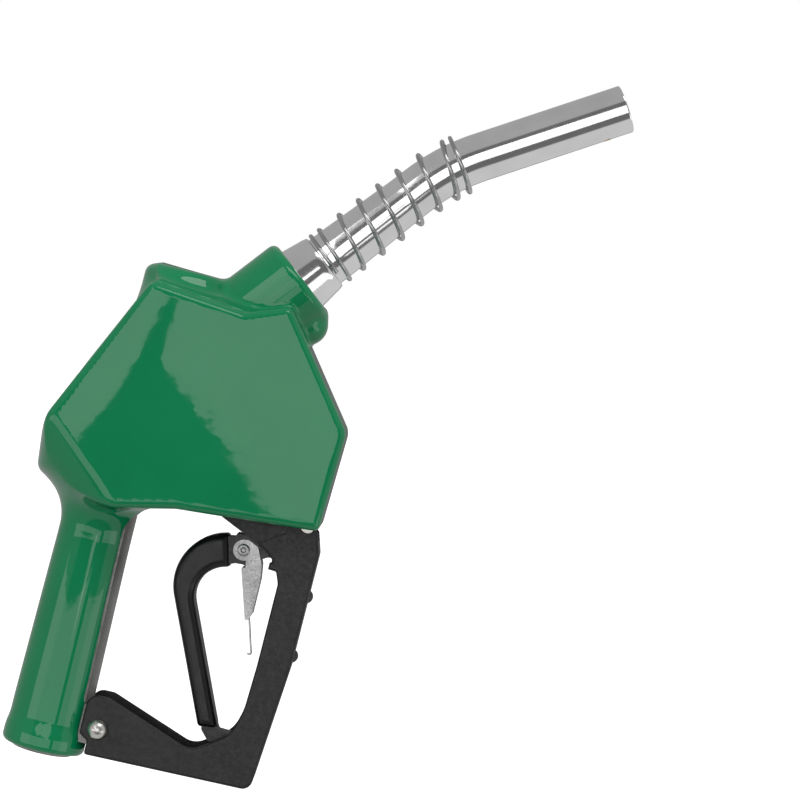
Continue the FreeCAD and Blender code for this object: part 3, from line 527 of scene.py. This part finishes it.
def lever_sleeve(looks):
    low, high = box_mm("lever_grip_sleeve")
    points, quads = surface_net(sleeve_distance, low, high, SLEEVE_CELL)
    points = settle(sleeve_distance, points)
    sleeve = mesh_object("lever_sleeve", points, quads, unit_normals(sleeve_distance, points))
    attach(sleeve, "lever")
    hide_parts("lever_grip_sleeve")
    sleeve.data.materials.append(looks["black_vinyl"])


def turned_pieces(looks):
    """The turned and bent metal pieces: how each is built, its slot, its material and its body."""
    pieces = [(spout_tube, "polished_aluminium", "polished_aluminium", "body"),
              (spout_bushing, "polished_aluminium", "polished_aluminium", "body"),
              (anchor_spring, "chrome_plate", "chrome_plate", "body"),
              (rear_screw, "chrome_plate", "satin_chrome", "body"),
              (latch_rivet, "bright_zinc", "bright_zinc", "lever")]
    for build, slot, finish, body in pieces:
        piece = build()
        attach(piece, body)
        piece.data.materials.append(looks[finish])


# ---------------------------------------------------------------- materials
def new_material(name):
    """A Principled material, its node tree and its shader."""
    material = bpy.data.materials.new(name)
    material.use_nodes = True
    return material, material.node_tree, material.node_tree.nodes["Principled BSDF"]


def add(tree, kind, values=None, **settings):
    """A node with its settings, and its inputs' values by name."""
    node = tree.nodes.new(kind)
    for key, value in settings.items():
        setattr(node, key, value)
    for key, value in (values or {}).items():
        node.inputs[key].default_value = value
    return node


def noise(tree, scale, detail=3.0, roughness=0.5):
    """Noise in the object's own space, in cycles per metre."""
    where = add(tree, "ShaderNodeTexCoord")
    texture = add(tree, "ShaderNodeTexNoise", {"Scale": scale, "Detail": detail, "Roughness": roughness})
    tree.links.new(where.outputs["Object"], texture.inputs["Vector"])
    return texture.outputs["Fac"]


def spread(tree, value, low, high):
    """A noise value, mostly between 0.3 and 0.7, stretched from low to high."""
    node = add(tree, "ShaderNodeMapRange", {"From Min": 0.3, "From Max": 0.7, "To Min": low, "To Max": high})
    tree.links.new(value, node.inputs["Value"])
    return node.outputs["Result"]


def tinted(tree, value, dark, light):
    """A colour between dark and light."""
    node = add(tree, "ShaderNodeMix", data_type="RGBA")
    node.inputs["A"].default_value = (*dark, 1)
    node.inputs["B"].default_value = (*light, 1)
    tree.links.new(value, node.inputs["Factor"])
    return node.outputs["Result"]


def mottled(tree, shader, scale, detail, dark, light):
    """Base colour that drifts between dark and light."""
    colour = tinted(tree, spread(tree, noise(tree, scale, detail), 0, 1), dark, light)
    tree.links.new(colour, shader.inputs["Base Color"])


def bumped(tree, shader, value, strength, distance):
    node = add(tree, "ShaderNodeBump", {"Strength": strength, "Distance": distance})
    tree.links.new(value, node.inputs["Height"])
    tree.links.new(node.outputs["Normal"], shader.inputs["Normal"])


def green_vinyl():
    material, tree, shader = new_material("green_vinyl")
    shader.inputs["Coat Weight"].default_value = 0.0
    shader.inputs["IOR"].default_value = 1.5
    mottled(tree, shader, 22, 4, (0.0010, 0.226, 0.082), (0.0016, 0.254, 0.093))
    tree.links.new(spread(tree, noise(tree, 60, 5), 0.018, 0.04), shader.inputs["Roughness"])
    bumped(tree, shader, noise(tree, 90, 2), 1.0, 0.00002)
    return material


def powder_coat():
    material, tree, shader = new_material("black_coating")
    mottled(tree, shader, 90, 5, (0.007, 0.007, 0.0075), (0.013, 0.013, 0.0137))
    tree.links.new(spread(tree, noise(tree, 500, 4), 0.34, 0.5), shader.inputs["Roughness"])
    bumped(tree, shader, noise(tree, 1500, 3, 0.6), 0.45, 0.00012)
    return material


def black_vinyl():
    material, tree, shader = new_material("black_vinyl")
    mottled(tree, shader, 60, 4, (0.003, 0.0032, 0.0032), (0.006, 0.0063, 0.0064))
    tree.links.new(spread(tree, noise(tree, 200, 4), 0.3, 0.42), shader.inputs["Roughness"])
    bumped(tree, shader, noise(tree, 1200, 2), 0.15, 0.00005)
    return material


def metal(name, dark, light, rough_low, rough_high, grain_scale=300, bump=0.0):
    """A metal with a grain in its roughness."""
    material, tree, shader = new_material(name)
    shader.inputs["Metallic"].default_value = 1.0
    mottled(tree, shader, 80, 5, dark, light)
    grained = noise(tree, grain_scale, 4, 0.6)
    tree.links.new(spread(tree, grained, rough_low, rough_high), shader.inputs["Roughness"])
    if bump:
        bumped(tree, shader, grained, bump, 0.00005)
    return material


def seal_rubber():
    material, tree, shader = new_material("seal_rubber")
    mottled(tree, shader, 200, 4, (0.012, 0.012, 0.012), (0.022, 0.022, 0.022))
    tree.links.new(spread(tree, noise(tree, 600, 3), 0.55, 0.7), shader.inputs["Roughness"])
    return material


def grey(v):
    return v, v, v * 1.01


METALS = {
    "cast_aluminium": ((0.25, 0.25, 0.24), (0.34, 0.34, 0.33), 0.42, 0.6, 900, 0.5),
    "polished_aluminium": (grey(0.80), grey(0.88), 0.07, 0.13, 700),
    "chrome_plate": (grey(0.42), grey(0.52), 0.05, 0.1),
    "satin_chrome": ((0.62, 0.60, 0.57), (0.72, 0.70, 0.67), 0.24, 0.32),
    "bright_zinc": (grey(0.30), grey(0.52), 0.26, 0.5, 1100, 0.6),
    "zinc_plate": ((0.55, 0.54, 0.50), (0.68, 0.67, 0.62), 0.2, 0.36),
    "dark_steel": (grey(0.06), grey(0.1), 0.35, 0.5),
    "bare_steel": (grey(0.05), grey(0.09), 0.38, 0.55, 600, 0.2),
    "spring_steel": (grey(0.5), grey(0.62), 0.18, 0.3),
    "brass": ((0.60, 0.42, 0.16), (0.72, 0.52, 0.22), 0.16, 0.3),
}


def all_materials():
    """Every material by its slot; METALS holds the arguments of metal()."""
    soft = {"green_vinyl": green_vinyl(), "black_coating": powder_coat(), "black_vinyl": black_vinyl(),
            "seal_rubber": seal_rubber()}
    return soft | {name: metal(name, *values) for name, values in METALS.items()}


def dress(materials):
    """Gives every CAD node the material of its slot."""
    for part in frame["record"]["subparts"]:
        node = frame["nodes"][part["node"]]
        node.data.materials.clear()
        node.data.materials.append(materials[part["material_slot"]])


# ---------------------------------------------------------------- camera, light and stage
TARGET = Vector((0.1159, 0.0, 0.1872))
CAMERA_AWAY = 1.150
ROLL = math.radians(14.0)
VIEW_WIDTH = 0.352        # seen across the picture at the object's middle plane
LAMP_AWAY = 4.0
PALE = (0.40, 0.62)       # the world's brightness, rising towards LOWER_RIGHT
DARK_CONE = 44.0          # half angle in degrees of the world's dark part
LOWER_RIGHT = Vector((math.sin(math.radians(32.4)), 0, -math.cos(math.radians(32.4))))
FLOOR_REACH = 30.0
FLOOR_DROP = 0.30


def camera():
    data = bpy.data.cameras.new("camera")
    made = bpy.data.objects.new("camera", data)
    bpy.context.scene.collection.objects.link(made)
    made.location = TARGET + Vector((0, -CAMERA_AWAY, 0))
    right = Vector((math.cos(ROLL), 0, math.sin(ROLL)))
    up = Vector((-math.sin(ROLL), 0, math.cos(ROLL)))
    back = right.cross(up)
    made.rotation_mode = "QUATERNION"
    made.rotation_quaternion = Matrix((right, up, back)).transposed().to_quaternion()
    data.sensor_width = 36.0
    data.lens = data.sensor_width * CAMERA_AWAY / VIEW_WIDTH
    data.clip_start, data.clip_end = 0.01, 100.0
    bpy.context.scene.camera = made


def direction(right, up):
    """Unit vector so many degrees to the right of and above the camera's side of the object."""
    a, e = math.radians(right), math.radians(up)
    return Vector((math.sin(a) * math.cos(e), -math.cos(a) * math.cos(e), math.sin(e)))


def softbox(name, centre, spans, radiance, turn=0.0, glossy=True):
    """A rectangular lamp, turned about its own middle: centre and spans in degrees as the object sees them."""
    towards = direction(*centre)
    size = [2 * LAMP_AWAY * math.tan(math.radians(span) / 2) for span in spans]
    data = bpy.data.lights.new(name, "AREA")
    data.shape = "RECTANGLE"
    data.size, data.size_y = size
    data.energy = radiance * math.pi * size[0] * size[1]
    made = bpy.data.objects.new(name, data)
    bpy.context.scene.collection.objects.link(made)
    made.location = TARGET + towards * LAMP_AWAY
    across = Vector((0, 0, 1)).cross(towards).normalized()
    upward = towards.cross(across)
    t = math.radians(turn)
    wide = across * math.cos(t) + upward * math.sin(t)
    tall = towards.cross(wide)
    made.rotation_mode = "QUATERNION"
    made.rotation_quaternion = Matrix((wide, tall, towards)).transposed().to_quaternion()
    made.visible_camera = False
    made.visible_glossy = glossy


def world():
    """Dark around the camera and pale elsewhere for reflections, and plain white to look at."""
    made = bpy.data.worlds.new("studio")
    bpy.context.scene.world = made
    made.use_nodes = True
    tree = made.node_tree
    lit = tree.nodes["Background"]
    where = add(tree, "ShaderNodeTexCoord")
    cone = add(tree, "ShaderNodeVectorMath", operation="DOT_PRODUCT")
    cone.inputs[1].default_value = direction(10, -7)
    side = add(tree, "ShaderNodeVectorMath", operation="DOT_PRODUCT")
    side.inputs[1].default_value = LOWER_RIGHT
    for node in (cone, side):
        tree.links.new(where.outputs["Generated"], node.inputs[0])
    edge = [math.cos(math.radians(DARK_CONE + d)) for d in (3, -3)]
    dark = add(tree, "ShaderNodeMapRange", {"From Min": edge[0], "From Max": edge[1]})
    tree.links.new(cone.outputs["Value"], dark.inputs["Value"])
    pale = add(tree, "ShaderNodeMapRange", {"From Min": -0.6, "From Max": 0.6})
    pale.inputs["To Min"].default_value, pale.inputs["To Max"].default_value = PALE
    tree.links.new(side.outputs["Value"], pale.inputs["Value"])
    back = add(tree, "ShaderNodeSeparateXYZ")
    tree.links.new(where.outputs["Generated"], back.inputs["Vector"])
    behind = add(tree, "ShaderNodeMapRange", {"From Min": 0.93, "From Max": 0.97})
    tree.links.new(back.outputs["Y"], behind.inputs["Value"])
    both = add(tree, "ShaderNodeMath", operation="MAXIMUM")
    tree.links.new(dark.outputs["Result"], both.inputs[0])
    tree.links.new(behind.outputs["Result"], both.inputs[1])
    level = add(tree, "ShaderNodeMix", data_type="FLOAT")
    level.inputs["B"].default_value = 0.15
    tree.links.new(both.outputs["Value"], level.inputs["Factor"])
    tree.links.new(pale.outputs["Result"], level.inputs["A"])
    tree.links.new(level.outputs["Result"], lit.inputs["Color"])
    plain = add(tree, "ShaderNodeBackground", {"Color": (1, 1, 1, 1), "Strength": 1.0})
    path = add(tree, "ShaderNodeLightPath")
    mix = add(tree, "ShaderNodeMixShader")
    tree.links.new(path.outputs["Is Camera Ray"], mix.inputs["Fac"])
    tree.links.new(lit.outputs["Background"], mix.inputs[1])
    tree.links.new(plain.outputs["Background"], mix.inputs[2])
    tree.links.new(mix.outputs["Shader"], tree.nodes["World Output"].inputs["Surface"])


def floor():
    """A pale floor well below the object, kept out of the metal's reflections."""
    material, tree, shader = new_material("pale_floor")
    shader.inputs["Base Color"].default_value = (0.8, 0.8, 0.8, 1)
    shader.inputs["Roughness"].default_value = 0.9
    shader.inputs["Emission Color"].default_value = (1, 1, 1, 1)
    shader.inputs["Emission Strength"].default_value = 0.9
    reach, drop = FLOOR_REACH, cad_low.z - FLOOR_DROP
    made = bpy.data.objects.new("floor", bpy.data.meshes.new("floor"))
    made.data.from_pydata([(-reach, -reach, drop), (reach, -reach, drop), (reach, reach, drop),
                           (-reach, reach, drop)], [], [(0, 1, 2, 3)])
    made.data.materials.append(material)
    made.visible_glossy = False
    made.visible_diffuse = False
    bpy.context.scene.collection.objects.link(made)


def light():
    """Softboxes that the glossy surfaces show, and a fill that they don't."""
    softbox("right_box", (4.2, 4.75), (24, 17.2), 1.65, turn=-18.5)
    softbox("left_box", (-28.3, 15.85), (45, 13.2), 1.65, turn=-40)
    softbox("low_box", (-19.5, -12.9), (83, 14), 1.3)
    softbox("low_side_box", (54, -12.9), (45, 14), 1.1)
    softbox("top_box", (22, 60), (40, 18), 3.0)
    softbox("fill", (-12, 34), (60, 40), 1.0, glossy=False)


bpy.context.scene.view_settings.view_transform = "Standard"
camera()
world()
light()
floor()
looks = all_materials()
dress(looks)
vinyl_cover(looks)
lever_sleeve(looks)
turned_pieces(looks)
